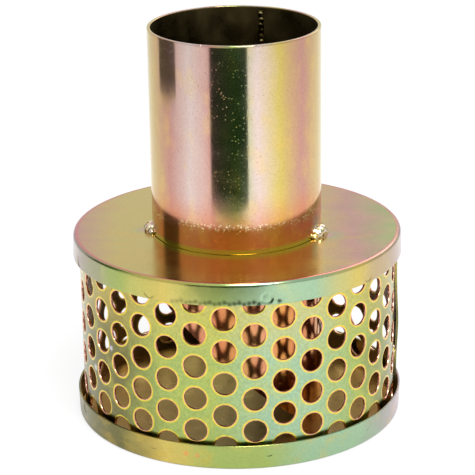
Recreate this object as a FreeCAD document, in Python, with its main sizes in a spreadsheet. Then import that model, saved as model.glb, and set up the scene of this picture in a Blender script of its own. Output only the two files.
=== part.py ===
import FreeCAD
import Part

import math
import os

import Sketcher

# Hose tail strainer: a drum of rolled perforated sheet between two pressed lids, and a tube
# that passes through the upper lid and is cut off obliquely inside the drum.
# Origin: centre of the base's underside. +Z is up, -Y is the front, and an angle on the part
# counts from the front towards +X, which is the right.

SIZES = [
    ("tail_diameter", 77, "outside of the tube that a 3 in hose is pushed over"),
    ("tail_wall", 1.5, "wall of the tube"),
    ("tail_length", 179.4, "tube from the base's floor to its open end"),
    ("tail_cut_angle", 42.4, "slope of the tube's inner end"),
    ("tail_cut_gap", 22.65, "cap's underside to the highest point of that cut"),
    ("lid_gauge", 1.0, "sheet of the base and the cap"),
    ("lid_clearance", 0.35, "between the screen's lap and a lid's wall"),
    ("lid_flare", 0.4, "how far a lid's wall leans out over its height"),
    ("base_rim_height", 11.3, "base, underside to the rim's edge"),
    ("base_spot_height", 8.4, "base, underside to the centre of a spot weld"),
    ("cap_skirt_height", 9.9, "cap, top to the skirt's edge"),
    ("cap_spot_height", 6.9, "cap, top to the centre of a spot weld"),
    ("cap_bore_clearance", 0.25, "tube to the edge of the cap's bore, at the radius"),
    ("spot_diameter", 5.2, "spot weld's mark"),
    ("spot_depth", 0.35, "depth of that mark"),
    ("spot_spacing", 40, "angle between spot welds"),
    ("free_spot_angle", 89.5, "place over the lap that has no spot weld"),
    ("screen_diameter", 144, "outside of the rolled screen"),
    ("screen_gauge", 1.0, "sheet of the screen"),
    ("screen_height", 84.5, "width of the strip, floor to the cap's underside"),
    ("seam_angle", 83.5, "where the screen's outer end lies"),
    ("lap_width", 8.5, "overlap of the screen's ends, along the sheet"),
    ("lap_clearance", 0.15, "between the lapped layers"),
    ("joggle_start", 1.5, "from the inner end to the start of the outer layer's step"),
    ("joggle_length", 15, "length of that step"),
    ("hole_diameter", 10, "round hole of the perforated sheet"),
    ("hole_pitch", 15, "distance between neighbouring holes, in a 60 degree pattern"),
    ("hole_margin", 0.5, "least metal between a hole and an edge"),
    ("bottom_row", 8.5, "screen's lower edge to the lowest row of holes"),
    ("bead_width", 3.4, "weld bead of the tube's long seam"),
    ("bead_height", 0.2, "how far the bead stands into the bore"),
    ("bead_angle", 160.3, "where the bead runs"),
    ("bead_inset", 2.0, "bead's ends to the tube's ends"),
    ("right_tack_angle", 71, "tack weld between tube and cap, right"),
    ("left_tack_angle", -86, "tack weld, left"),
    ("rear_tack_angle", 180, "tack weld, rear"),
    ("tack_reach", 6.5, "how far a tack spreads over the cap"),
    ("tack_height", 7, "how far it climbs the tube"),
    ("tack_length", 13, "its length round the tube"),
    ("tack_taper", 3.25, "length over which its face runs out at each end"),
    ("left_tack_scale", 0.85, "left tack against the right one"),
    ("rear_tack_scale", 0.9, "rear tack against the right one"),
    ("seam_tack_height", 28, "base's underside to the tack on the lap's edge"),
    ("seam_tack_length", 5, "that tack's length along the edge"),
    ("seam_tack_width", 3.6, "and its width across it"),
]

SKETCH_PLANES = {"XY": "XY_Plane", "XZ": "XZ_Plane", "YZ": "YZ_Plane"}
SPOT_WELDS = 8
START, END, CENTRE = 1, 2, 3
ORIGIN_POINT = (-1, 1)
NEARLY_LEVEL = 0.1
NEARLY_UPRIGHT = 0.9
X_AXIS = -1
Y_AXIS = -2

# Radii and heights that several pieces share, in terms of the sheet.
TAIL_RADIUS = "sizes.tail_diameter / 2"
BORE_RADIUS = f"({TAIL_RADIUS} - sizes.tail_wall)"
SCREEN_RADIUS = "sizes.screen_diameter / 2"
SCREEN_INSIDE = f"({SCREEN_RADIUS} - sizes.screen_gauge)"
SCREEN_MIDDLE = f"({SCREEN_RADIUS} - sizes.screen_gauge / 2)"
LAP_INSIDE = f"({SCREEN_RADIUS} + sizes.lap_clearance)"
LAP_OUTSIDE = f"({LAP_INSIDE} + sizes.screen_gauge)"
LID_INSIDE = f"({LAP_OUTSIDE} + sizes.lid_clearance)"
LID_OUTSIDE = f"({LID_INSIDE} + sizes.lid_gauge)"
LID_CORNER = "sizes.lid_clearance"
CAP_UNDERSIDE = "(sizes.lid_gauge + sizes.screen_height)"
CAP_TOP = f"({CAP_UNDERSIDE} + sizes.lid_gauge)"
TAIL_TOP = "(sizes.lid_gauge + sizes.tail_length)"
CUT_SLOPE = "tan(sizes.tail_cut_angle * 1 deg)"
CUT_AT_AXIS = f"({CAP_UNDERSIDE} - sizes.tail_cut_gap - {CUT_SLOPE} * {TAIL_RADIUS})"
COLUMN_STEP = "(sizes.hole_pitch * sqrt(3) / 2)"
FIRST_COLUMN = "(sizes.lap_width + sizes.hole_margin + sizes.hole_diameter / 2)"
LAST_COLUMN = f"(2 * pi * {SCREEN_MIDDLE} - sizes.hole_margin - sizes.hole_diameter / 2)"
COLUMN_PAIRS = f"floor(({LAST_COLUMN} - {FIRST_COLUMN} - {COLUMN_STEP}) / (2 * {COLUMN_STEP})) + 1"


def along_sheet(length):
    """Angle in degrees that a length measured along the rolled screen takes up."""
    return f"({length}) / {SCREEN_MIDDLE} * 180 / pi"


def new_document():
    """Make the document and its sheet of sizes."""
    document = FreeCAD.newDocument("hose_tail_strainer")
    sheet = document.addObject("Spreadsheet::Sheet", "sizes")
    for row, (alias, value, note) in enumerate(SIZES, start=1):
        sheet.set(f"A{row}", alias)
        sheet.set(f"B{row}", str(value))
        sheet.set(f"C{row}", note)
        sheet.setAlias(f"B{row}", alias)
    document.recompute()
    return document


def value_of(document, expression):
    """Number that an expression of the sheet's sizes has now."""
    result = document.sizes.evalExpression(expression)
    return float(getattr(result, "Value", result))


def new_body(document, name):
    """Body with a label of its own, which also names its file."""
    body = document.addObject("PartDesign::Body", name)
    body.Label = name
    return body


def origin_feature(body, role):
    """Plane or axis of a body's own origin."""
    return next(feature for feature in body.Origin.OriginFeatures if feature.Role == role)


def new_sketch(body, name, plane):
    """Sketch on one of the body's origin planes."""
    sketch = body.newObject("Sketcher::SketchObject", name)
    sketch.AttachmentSupport = [(origin_feature(body, SKETCH_PLANES[plane]), "")]
    sketch.MapMode = "FlatFace"
    return sketch


def stand_off(sketch, angle, distance):
    """Turn an upright sketch about Z and move it out along its new normal."""
    upright = FreeCAD.Rotation(FreeCAD.Vector(0, 1, 0), 1)
    sketch.AttachmentOffset = FreeCAD.Placement(FreeCAD.Vector(0, 0, 0), upright)
    sketch.setExpression("AttachmentOffset.Rotation.Angle", angle)
    sketch.setExpression("AttachmentOffset.Base.x", f"{distance} * sin({angle})")
    sketch.setExpression("AttachmentOffset.Base.z", f"{distance} * cos({angle})")


def relate(sketch, kind, *elements):
    """Add a geometric constraint."""
    return sketch.addConstraint(Sketcher.Constraint(kind, *elements))


def dimension(sketch, name, expression, kind, *elements):
    """Add a dimension that follows an expression of the sheet's sizes."""
    value = value_of(sketch.Document, expression)
    if kind == "Angle":
        value = math.radians(value)
    index = sketch.addConstraint(Sketcher.Constraint(kind, *elements, value))
    sketch.renameConstraint(index, name)
    sketch.setExpression(f"Constraints.{name}", expression)


def flat_point(across, up):
    """Point in a sketch's plane."""
    return FreeCAD.Vector(across, up, 0)


def polar_point(radius, degrees):
    """Point in a sketch's plane, by its distance and angle from the origin."""
    angle = math.radians(degrees)
    return flat_point(radius * math.cos(angle), radius * math.sin(angle))


def draw_line(sketch, start, end, construction=False):
    """Straight edge between two points."""
    return sketch.addGeometry(Part.LineSegment(start, end), construction)


def draw_arc(sketch, centre, radius, start, end):
    """Arc that runs anticlockwise between two angles in degrees."""
    circle = Part.Circle(centre, FreeCAD.Vector(0, 0, 1), radius)
    arc = Part.ArcOfCircle(circle, math.radians(start), math.radians(end))
    return sketch.addGeometry(arc, False)


def draw_circle(sketch, centre, radius):
    """Full circle."""
    return sketch.addGeometry(Part.Circle(centre, FreeCAD.Vector(0, 0, 1), radius), False)


def draw_round(sketch, name, diameter, height):
    """Circle on the sketch's vertical axis."""
    document = sketch.Document
    centre = flat_point(0, value_of(document, height))
    circle = draw_circle(sketch, centre, value_of(document, diameter) / 2)
    relate(sketch, "PointOnObject", circle, CENTRE, Y_AXIS)
    dimension(sketch, f"{name}_diameter", diameter, "Diameter", circle)
    dimension(sketch, f"{name}_height", height, "DistanceY", *ORIGIN_POINT, circle, CENTRE)


def add_pad(body, name, sketch, length):
    """Pad a sketch along its normal."""
    pad = body.newObject("PartDesign::Pad", name)
    pad.Profile = sketch
    pad.setExpression("Length", length)
    return pad


def add_outward_pocket(body, name, sketch):
    """Cut a sketch through everything on its normal's side."""
    pocket = body.newObject("PartDesign::Pocket", name)
    pocket.Profile = sketch
    pocket.Type = "ThroughAll"
    pocket.Reversed = True
    return pocket


def add_polar_pattern(body, name, features, spacing, count):
    """Repeat features about the body's Z axis, anticlockwise."""
    pattern = body.newObject("PartDesign::PolarPattern", name)
    pattern.Originals = features
    pattern.Axis = (origin_feature(body, "Z_Axis"), [""])
    pattern.Mode = "Spacing"
    pattern.setExpression("Offset", spacing)
    pattern.setExpression("Occurrences", count)
    body.Tip = pattern
    return pattern


def turn_about_z(placed, angle):
    """Turn a piece about Z by an angle of the part, which counts from the front."""
    upright = FreeCAD.Rotation(FreeCAD.Vector(0, 0, 1), 1)
    placed.Placement = FreeCAD.Placement(placed.Placement.Base, upright)
    placed.setExpression("Placement.Rotation.Angle", f"({angle}) * 1 deg")


def draw_dish_wall(sketch, bore, height):
    """Half section of a pressed dish: a flat disc, a rounded corner and a wall that leans out."""
    document = sketch.Document
    gauge = value_of(document, "sizes.lid_gauge")
    inside_corner = value_of(document, LID_CORNER)
    outside_corner = inside_corner + gauge
    centre = flat_point(value_of(document, LID_INSIDE) - inside_corner, outside_corner)
    inside = centre.x + inside_corner
    outside = centre.x + outside_corner
    edge = value_of(document, height)
    inner = value_of(document, bore) if bore else 0

    underside = draw_line(sketch, flat_point(inner, 0), flat_point(centre.x, 0))
    outer_corner = draw_arc(sketch, centre, outside_corner, 270, 360)
    outer_wall = draw_line(sketch, flat_point(outside, centre.y), flat_point(outside, edge))
    rim = draw_line(sketch, flat_point(outside, edge), flat_point(inside, edge))
    inner_wall = draw_line(sketch, flat_point(inside, edge), flat_point(inside, centre.y))
    inner_corner = draw_arc(sketch, centre, inside_corner, 270, 360)
    upper_side = draw_line(sketch, flat_point(centre.x, gauge), flat_point(inner, gauge))
    inner_edge = draw_line(sketch, flat_point(inner, gauge), flat_point(inner, 0))

    relate(sketch, "Tangent", underside, END, outer_corner, START)
    relate(sketch, "Tangent", outer_corner, END, outer_wall, START)
    relate(sketch, "Tangent", inner_wall, END, inner_corner, END)
    relate(sketch, "Tangent", inner_corner, START, upper_side, START)
    relate(sketch, "Coincident", outer_wall, END, rim, START)
    relate(sketch, "Coincident", rim, END, inner_wall, START)
    relate(sketch, "Coincident", upper_side, END, inner_edge, START)
    relate(sketch, "Coincident", inner_edge, END, underside, START)
    relate(sketch, "Coincident", inner_corner, CENTRE, outer_corner, CENTRE)
    relate(sketch, "Parallel", outer_wall, inner_wall)
    relate(sketch, "Horizontal", underside)
    relate(sketch, "Horizontal", upper_side)
    relate(sketch, "Horizontal", rim)
    relate(sketch, "Vertical", inner_edge)
    if bore:
        relate(sketch, "PointOnObject", underside, START, X_AXIS)
        dimension(sketch, "bore_radius", bore, "DistanceX", *ORIGIN_POINT, underside, START)
    else:
        relate(sketch, "Coincident", underside, START, *ORIGIN_POINT)
    dimension(sketch, "inner_corner", LID_CORNER, "Radius", inner_corner)
    dimension(sketch, "outer_corner", f"{LID_CORNER} + sizes.lid_gauge", "Radius", outer_corner)
    dimension(sketch, "flat_radius", f"{LID_INSIDE} - {LID_CORNER}",
              "DistanceX", *ORIGIN_POINT, outer_corner, CENTRE)
    dimension(sketch, "edge_radius", f"{LID_OUTSIDE} + sizes.lid_flare",
              "DistanceX", *ORIGIN_POINT, outer_wall, END)
    dimension(sketch, "edge_height", height, "DistanceY", *ORIGIN_POINT, outer_wall, END)


def draw_spot(sketch, height, distance):
    """Round mark in a plane that stands off the front by a distance from the axis."""
    draw_round(sketch, "spot", "sizes.spot_diameter", height)
    sketch.setExpression("AttachmentOffset.Base.z", distance)


def make_dish(document, name, height, spot_height, bore=None):
    """Pressed dish that stands on its disc, with spot welds set inwards from its wall.

    The welds start at the front and run anticlockwise. The place after the last one is left
    free, for the screen's lap.
    """
    body = new_body(document, name)
    section = new_sketch(body, f"{name}_section", "XZ")
    draw_dish_wall(section, bore, height)
    dish = body.newObject("PartDesign::Revolution", f"{name}_dish")
    dish.Profile = section
    dish.ReferenceAxis = (section, ["V_Axis"])

    # Behind each mark the wall is pressed in until it meets the screen.
    nugget_sketch = new_sketch(body, f"{name}_nugget_outline", "XZ")
    draw_spot(nugget_sketch, spot_height, SCREEN_RADIUS)
    nugget = add_pad(body, f"{name}_nugget", nugget_sketch,
                     f"{LID_INSIDE} + sizes.lid_gauge / 2 - {SCREEN_RADIUS}")
    mark_sketch = new_sketch(body, f"{name}_mark_outline", "XZ")
    wall_at_spot = f"{LID_OUTSIDE} + sizes.lid_flare * {spot_height} / {height}"
    draw_spot(mark_sketch, spot_height, f"{wall_at_spot} - sizes.spot_depth")
    mark = add_outward_pocket(body, f"{name}_mark", mark_sketch)
    add_polar_pattern(body, f"{name}_spot_welds", [nugget, mark], "sizes.spot_spacing", str(SPOT_WELDS))
    return body


def make_base_plate(document):
    """Base, with its free place for the lap at the seam."""
    body = make_dish(document, "base_plate", "sizes.base_rim_height", "sizes.base_spot_height")
    turn_about_z(body, "sizes.free_spot_angle + sizes.spot_spacing")
    return body


def make_cap(document):
    """Cap: the same kind of dish, turned over, with a bore for the tube."""
    bore = f"{TAIL_RADIUS} + sizes.cap_bore_clearance"
    body = make_dish(document, "cap", "sizes.cap_skirt_height", "sizes.cap_spot_height", bore)
    free_place = value_of(document, "sizes.free_spot_angle")
    free_place_now = value_of(document, f"180 - {SPOT_WELDS} * sizes.spot_spacing")
    turned_over = FreeCAD.Rotation(FreeCAD.Vector(1, 0, 0), 180)
    about_axis = FreeCAD.Rotation(FreeCAD.Vector(0, 0, 1), free_place - free_place_now)
    body.Placement = FreeCAD.Placement(FreeCAD.Vector(0, 0, 0), about_axis * turned_over)
    body.setExpression("Placement.Base.z", CAP_TOP)
    return body


def draw_rolled_strip(sketch):
    """Section of the rolled sheet: one turn, a step outwards, and a lap over its own start.

    The outer end lies on the X axis. The outer layer runs anticlockwise from there, steps down
    to the screen's radius and goes once round until its inner end lies under the lap.
    """
    document = sketch.Document
    inner_end = along_sheet("sizes.lap_width")
    step_start = along_sheet("sizes.lap_width + sizes.joggle_start")
    step_end = along_sheet("sizes.lap_width + sizes.joggle_start + sizes.joggle_length")
    inner_end_now = value_of(document, inner_end)
    step_start_now = value_of(document, step_start)
    step_end_now = value_of(document, step_end)
    origin = flat_point(0, 0)

    arcs = {}
    rounds = [
        ("outside", SCREEN_RADIUS, step_end_now, 360 + inner_end_now),
        ("inside", SCREEN_INSIDE, step_end_now, 360 + inner_end_now),
        ("lap_outside", LAP_OUTSIDE, 0, step_start_now),
        ("lap_inside", LAP_INSIDE, 0, step_start_now),
    ]
    for name, radius, start, end in rounds:
        arcs[name] = draw_arc(sketch, origin, value_of(document, radius), start, end)
        relate(sketch, "Coincident", arcs[name], CENTRE, *ORIGIN_POINT)
        dimension(sketch, name, radius, "Radius", arcs[name])

    # Straight edges: the two cut ends, and both faces of the step.
    edges = [
        ("outside", END, "inside", END),
        ("lap_outside", START, "lap_inside", START),
        ("lap_outside", END, "outside", START),
        ("lap_inside", END, "inside", START),
    ]
    for first, first_end, second, second_end in edges:
        start = sketch.getPoint(arcs[first], first_end)
        end = sketch.getPoint(arcs[second], second_end)
        edge = draw_line(sketch, start, end)
        relate(sketch, "Coincident", edge, START, arcs[first], first_end)
        relate(sketch, "Coincident", edge, END, arcs[second], second_end)

    relate(sketch, "PointOnObject", arcs["lap_outside"], START, X_AXIS)
    relate(sketch, "PointOnObject", arcs["lap_inside"], START, X_AXIS)
    rays = [
        ("inner_end", inner_end, "outside", "inside", END),
        ("step_start", step_start, "lap_outside", "lap_inside", END),
        ("step_end", step_end, "outside", "inside", START),
    ]
    for name, angle, outer, inner, end in rays:
        ray = draw_line(sketch, origin, sketch.getPoint(arcs[outer], end), construction=True)
        relate(sketch, "Coincident", ray, START, *ORIGIN_POINT)
        relate(sketch, "Coincident", ray, END, arcs[outer], end)
        relate(sketch, "PointOnObject", arcs[inner], end, ray)
        dimension(sketch, name, angle, "Angle", ray)


def draw_hole_column(sketch, first_row):
    """One column of holes, from a first row up to the last that the strip has room for."""
    document = sketch.Document
    pitch = value_of(document, "sizes.hole_pitch")
    radius = value_of(document, "sizes.hole_diameter") / 2
    lowest = value_of(document, first_row)
    highest = value_of(document, "sizes.screen_height - sizes.hole_margin") - radius
    rows = math.floor((highest - lowest) / pitch) + 1
    for row in range(rows):
        height = f"{first_row} + {row} * sizes.hole_pitch"
        draw_round(sketch, f"hole_{row}", "sizes.hole_diameter", height)


def make_strainer_screen(document):
    """Perforated strip, rolled and lapped: the holes are cut column by column, square to it."""
    body = new_body(document, "strainer_screen")
    section = new_sketch(body, "rolled_strip", "XY")
    draw_rolled_strip(section)
    add_pad(body, "strip", section, "sizes.screen_height")

    columns = [
        ("even", FIRST_COLUMN, "sizes.bottom_row + sizes.hole_pitch / 2"),
        ("odd", f"{FIRST_COLUMN} + {COLUMN_STEP}", "sizes.bottom_row"),
    ]
    for name, place, first_row in columns:
        sketch = new_sketch(body, f"{name}_column", "YZ")
        stand_off(sketch, f"({along_sheet(place)}) * 1 deg", f"({SCREEN_INSIDE} - sizes.hole_diameter / 2)")
        draw_hole_column(sketch, first_row)
        pocket = add_outward_pocket(body, f"{name}_holes", sketch)
        spacing = along_sheet(f"2 * {COLUMN_STEP}")
        add_polar_pattern(body, f"{name}_columns", [pocket], spacing, COLUMN_PAIRS)

    turn_about_z(body, "sizes.seam_angle - 90")
    body.setExpression("Placement.Base.z", "sizes.lid_gauge")
    return body


def make_hose_tail(document):
    """Tube that stands on the base's floor: its inner end is cut off at a slope."""
    body = new_body(document, "hose_tail")
    section = new_sketch(body, "tail_section", "XY")
    for name, radius in (("outside", TAIL_RADIUS), ("bore", BORE_RADIUS)):
        circle = draw_circle(section, flat_point(0, 0), value_of(document, radius))
        relate(section, "Coincident", circle, CENTRE, *ORIGIN_POINT)
        dimension(section, name, radius, "Radius", circle)
    add_pad(body, "tube", section, "sizes.tail_length")

    # The triangle under the slope, from beyond the tube's left side to where the foot starts.
    slope = new_sketch(body, "slope", "XZ")
    rise = value_of(document, CUT_SLOPE)
    at_axis = value_of(document, f"{CUT_AT_AXIS} - sizes.lid_gauge")
    left = -value_of(document, "sizes.tail_diameter")
    below = -value_of(document, "sizes.lid_gauge")
    corner = flat_point(left, below)
    top = flat_point(left, at_axis - rise * left)
    foot = flat_point((at_axis - below) / rise, below)
    side_edge = draw_line(slope, corner, top)
    cut_edge = draw_line(slope, top, foot)
    lower_edge = draw_line(slope, foot, corner)
    upper_part = draw_line(slope, top, flat_point(0, at_axis), construction=True)
    relate(slope, "Coincident", side_edge, END, cut_edge, START)
    relate(slope, "Coincident", cut_edge, END, lower_edge, START)
    relate(slope, "Coincident", lower_edge, END, side_edge, START)
    relate(slope, "Vertical", side_edge)
    relate(slope, "Horizontal", lower_edge)
    relate(slope, "Coincident", upper_part, START, cut_edge, START)
    relate(slope, "PointOnObject", upper_part, END, cut_edge)
    relate(slope, "PointOnObject", upper_part, END, Y_AXIS)
    dimension(slope, "beyond_side", "sizes.tail_diameter", "DistanceX", side_edge, START, *ORIGIN_POINT)
    dimension(slope, "below_floor", "sizes.lid_gauge", "DistanceY", side_edge, START, *ORIGIN_POINT)
    dimension(slope, "at_axis", f"{CUT_AT_AXIS} - sizes.lid_gauge",
              "DistanceY", *ORIGIN_POINT, upper_part, END)
    dimension(slope, "cut_angle", "90 - sizes.tail_cut_angle", "Angle", side_edge, END, cut_edge, START)
    cut = body.newObject("PartDesign::Pocket", "oblique_cut")
    cut.Profile = slope
    cut.SideType = "Symmetric"
    cut.setExpression("Length", "2 * sizes.tail_diameter")
    body.setExpression("Placement.Base.z", "sizes.lid_gauge")
    return body


def make_tail_seam_bead(document):
    """Bead of the tube's long seam: a low strip of weld, planed to one height along the bore."""
    core = document.addObject("Part::Cylinder", "bead_core")
    core.setExpression("Radius", f"{BORE_RADIUS} - sizes.bead_height")
    sector = document.addObject("Part::Cylinder", "bead_sector")
    sector.setExpression("Radius", BORE_RADIUS)
    span = f"(sizes.bead_width / ({BORE_RADIUS}) * 180 / pi)"
    sector.setExpression("Angle", span)
    cut_at_bead = f"{CUT_AT_AXIS} - {CUT_SLOPE} * {BORE_RADIUS} * sin(sizes.bead_angle * 1 deg)"
    lower_end = f"(max({cut_at_bead}; sizes.lid_gauge) + sizes.bead_inset)"
    for cylinder in (core, sector):
        cylinder.setExpression("Height", f"{TAIL_TOP} - sizes.bead_inset - {lower_end}")
        cylinder.setExpression("Placement.Base.z", lower_end)
    bead = document.addObject("Part::Cut", "tail_seam_bead")
    bead.Base = sector
    bead.Tool = core
    turn_about_z(bead, f"sizes.bead_angle - 90 - {span} / 2")
    return bead


def make_tail_tack(document, side, angle, scale):
    """Tack weld in the corner of tube and cap: a three-sided bead round part of the tube."""
    name = f"tack_weld_{side}"
    body = new_body(document, name)
    section = new_sketch(body, f"{name}_section", "XZ")
    radius = value_of(document, TAIL_RADIUS)
    reach = f"sizes.tack_reach * {scale}"
    rise = f"sizes.tack_height * {scale}"
    corner = flat_point(radius, 0)
    toe = flat_point(radius + value_of(document, reach), 0)
    top = flat_point(radius, value_of(document, rise))
    lower_side = draw_line(section, corner, toe)
    face = draw_line(section, toe, top)
    tube_side = draw_line(section, top, corner)
    relate(section, "Coincident", lower_side, END, face, START)
    relate(section, "Coincident", face, END, tube_side, START)
    relate(section, "Coincident", tube_side, END, lower_side, START)
    relate(section, "PointOnObject", lower_side, START, X_AXIS)
    relate(section, "Horizontal", lower_side)
    relate(section, "Vertical", tube_side)
    dimension(section, "tube_radius", TAIL_RADIUS, "DistanceX", *ORIGIN_POINT, lower_side, START)
    dimension(section, "reach", reach, "DistanceX", lower_side, START, lower_side, END)
    dimension(section, "rise", rise, "DistanceY", *ORIGIN_POINT, tube_side, START)
    bead = body.newObject("PartDesign::Revolution", f"{name}_bead")
    bead.Profile = section
    bead.ReferenceAxis = (section, ["V_Axis"])
    bead.Midplane = True
    bead.setExpression("Angle", f"sizes.tack_length * {scale} / ({TAIL_RADIUS}) * 180 / pi")
    document.recompute()

    # The bead's face runs out towards both ends.
    ends = [f"Edge{number}" for number, edge in enumerate(bead.Shape.Edges, start=1)
            if is_sloping_straight(edge)]
    taper = body.newObject("PartDesign::Chamfer", f"{name}_taper")
    taper.Base = (bead, ends)
    taper.setExpression("Size", f"sizes.tack_taper * {scale}")
    body.Tip = taper
    body.setExpression("Placement.Base.z", CAP_TOP)
    turn_about_z(body, f"{angle} - 90")
    return body


def is_sloping_straight(edge):
    """Whether an edge is straight and neither level nor upright."""
    if not isinstance(edge.Curve, Part.Line):
        return False
    return NEARLY_LEVEL < abs(edge.Curve.Direction.z) < NEARLY_UPRIGHT


def make_seam_tack(document):
    """Tack weld along the edge of the screen's lap, in the step between the two layers."""
    body = new_body(document, "seam_tack_weld")
    section = new_sketch(body, "seam_tack_section", "XY")
    drum = value_of(document, SCREEN_RADIUS)
    lap = value_of(document, LAP_OUTSIDE)
    spread = along_sheet("sizes.seam_tack_width")
    spread_now = value_of(document, spread)
    drum_side = draw_arc(section, flat_point(0, 0), drum, -spread_now, 0)
    lap_side = draw_line(section, flat_point(drum, 0), flat_point(lap, 0))
    face = draw_line(section, flat_point(lap, 0), polar_point(drum, -spread_now))
    ray = draw_line(section, flat_point(0, 0), polar_point(drum, -spread_now), construction=True)
    relate(section, "Coincident", drum_side, CENTRE, *ORIGIN_POINT)
    relate(section, "Coincident", drum_side, END, lap_side, START)
    relate(section, "Coincident", lap_side, END, face, START)
    relate(section, "Coincident", face, END, drum_side, START)
    relate(section, "PointOnObject", lap_side, START, X_AXIS)
    relate(section, "Horizontal", lap_side)
    relate(section, "Coincident", ray, START, *ORIGIN_POINT)
    relate(section, "Coincident", ray, END, drum_side, START)
    dimension(section, "drum_radius", SCREEN_RADIUS, "Radius", drum_side)
    dimension(section, "lap_radius", LAP_OUTSIDE, "DistanceX", *ORIGIN_POINT, lap_side, END)
    dimension(section, "spread", spread, "Angle", ray, START, X_AXIS, START)
    add_pad(body, "seam_tack_bead", section, "sizes.seam_tack_length")
    body.setExpression("Placement.Base.z", "sizes.seam_tack_height - sizes.seam_tack_length / 2")
    turn_about_z(body, "sizes.seam_angle - 90")
    return body


def check_document(document, pieces):
    """Stop if any feature failed or any piece has no valid solid."""
    failed = [item.Name for item in document.Objects if {"Invalid", "Error"} & set(item.State)]
    if failed:
        raise RuntimeError(f"features that failed: {failed}")
    for piece in pieces:
        shape = piece.Shape
        if shape.isNull() or not shape.isValid() or len(shape.Solids) != 1:
            raise RuntimeError(f"{piece.Label} is not one valid solid")


def export_pieces(pieces):
    """Write one file for each piece."""
    os.makedirs("parts", exist_ok=True)
    for piece in pieces:
        piece.Shape.exportStep(f"parts/{piece.Label}.step")
        print(f"{piece.Label}: {piece.Shape.Volume / 1000:.2f} cm3")


def main():
    """Build every piece of the strainer and write it out."""
    document = new_document()
    pieces = [
        make_base_plate(document),
        make_strainer_screen(document),
        make_cap(document),
        make_hose_tail(document),
        make_tail_seam_bead(document),
        make_tail_tack(document, "right", "sizes.right_tack_angle", "1"),
        make_tail_tack(document, "left", "sizes.left_tack_angle", "sizes.left_tack_scale"),
        make_tail_tack(document, "rear", "sizes.rear_tack_angle", "sizes.rear_tack_scale"),
        make_seam_tack(document),
    ]
    document.recompute()
    check_document(document, pieces)
    export_pieces(pieces)


main()
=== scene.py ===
"""Dressed scene of a hose tail strainer.

The strainer is a drum of perforated sheet between two pressed lids, with a plain tube (the
hose tail) that passes through the upper lid. All of it is zinc-plated steel with a yellow
passivation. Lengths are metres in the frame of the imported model: the base stands on z = 0,
the front faces -Y, and an angle on the part counts from the front towards +X.
"""

import logging
import math
from dataclasses import dataclass
from enum import Enum

import bmesh
import bpy
from mathutils import Matrix, Quaternion, Vector, kdtree, noise


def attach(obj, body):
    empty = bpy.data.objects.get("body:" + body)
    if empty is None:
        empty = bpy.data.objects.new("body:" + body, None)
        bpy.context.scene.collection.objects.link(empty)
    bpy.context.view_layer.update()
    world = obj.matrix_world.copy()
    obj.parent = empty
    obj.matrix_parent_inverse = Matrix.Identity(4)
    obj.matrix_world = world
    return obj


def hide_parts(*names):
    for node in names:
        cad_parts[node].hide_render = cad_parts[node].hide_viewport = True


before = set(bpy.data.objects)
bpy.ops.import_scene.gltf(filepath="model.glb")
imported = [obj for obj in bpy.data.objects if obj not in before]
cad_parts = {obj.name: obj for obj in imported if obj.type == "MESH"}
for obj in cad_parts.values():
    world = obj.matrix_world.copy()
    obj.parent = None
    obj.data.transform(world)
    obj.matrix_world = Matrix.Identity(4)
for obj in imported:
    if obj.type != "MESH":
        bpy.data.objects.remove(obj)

LOG = logging.getLogger("strainer")
MM = 0.001
TURN = math.tau
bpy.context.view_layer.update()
WELD_PLACES = 9

Stops = tuple[tuple[float, str], ...]
Socket = bpy.types.NodeSocket


class Slot(Enum):
    """Material slots of the record."""

    LID = "lid_steel"
    SCREEN = "screen_steel"
    TAIL = "tail_steel"
    WELD = "weld_metal"


# ---- meshes


def around(radius: float, degrees: float, height: float) -> Vector:
    """Point on the part by its radius, its angle from the front and its height."""
    angle = math.radians(degrees)
    return Vector((radius * math.sin(angle), -radius * math.cos(angle), height))


def smooth_step(value: float) -> float:
    """Ease a share from 0 to 1, level at both ends."""
    share = min(max(value, 0.0), 1.0)
    return share * share * (3 - 2 * share)


def spin_section(corners: list[tuple[float, float]], steps: int, closed: bool) -> bmesh.types.BMesh:
    """Spin a half section round the Z axis.

    Args:
        corners: (radius, height) of the section's corners, in order.
        steps: number of steps in the full turn.
        closed: whether the last corner joins the first.

    Returns:
        The body of revolution, merged at its seam and its poles.
    """
    bm = bmesh.new()
    verts = [bm.verts.new((radius, 0.0, height)) for radius, height in corners]
    edges = [bm.edges.new(pair) for pair in zip(verts, verts[1:])]
    if closed:
        edges.append(bm.edges.new((verts[-1], verts[0])))
    bmesh.ops.spin(bm, geom=verts + edges, cent=(0, 0, 0), axis=(0, 0, 1),
                   angle=TURN, steps=steps, use_merge=True)
    bmesh.ops.remove_doubles(bm, verts=bm.verts[:], dist=0.001 * MM)
    bmesh.ops.recalc_face_normals(bm, faces=bm.faces[:])
    return bm


def round_ring(bm: bmesh.types.BMesh, radius: float, height: float, rounding: float, segments: int) -> None:
    """Round the circular edge at a radius and height.

    Args:
        bm: mesh to change.
        radius: the edge's radius.
        height: the edge's height.
        rounding: radius of the rounding.
        segments: faces across the rounding.
    """
    def on_ring(vert: bmesh.types.BMVert) -> bool:
        """Whether a vertex lies on the edge."""
        return abs(vert.co.xy.length - radius) < 0.01 * MM and abs(vert.co.z - height) < 0.01 * MM

    edges = [edge for edge in bm.edges if all(on_ring(vert) for vert in edge.verts)]
    bmesh.ops.bevel(bm, geom=edges, offset=rounding, offset_type="OFFSET", segments=segments,
                    profile=0.5, affect="EDGES", material=-1)


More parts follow.
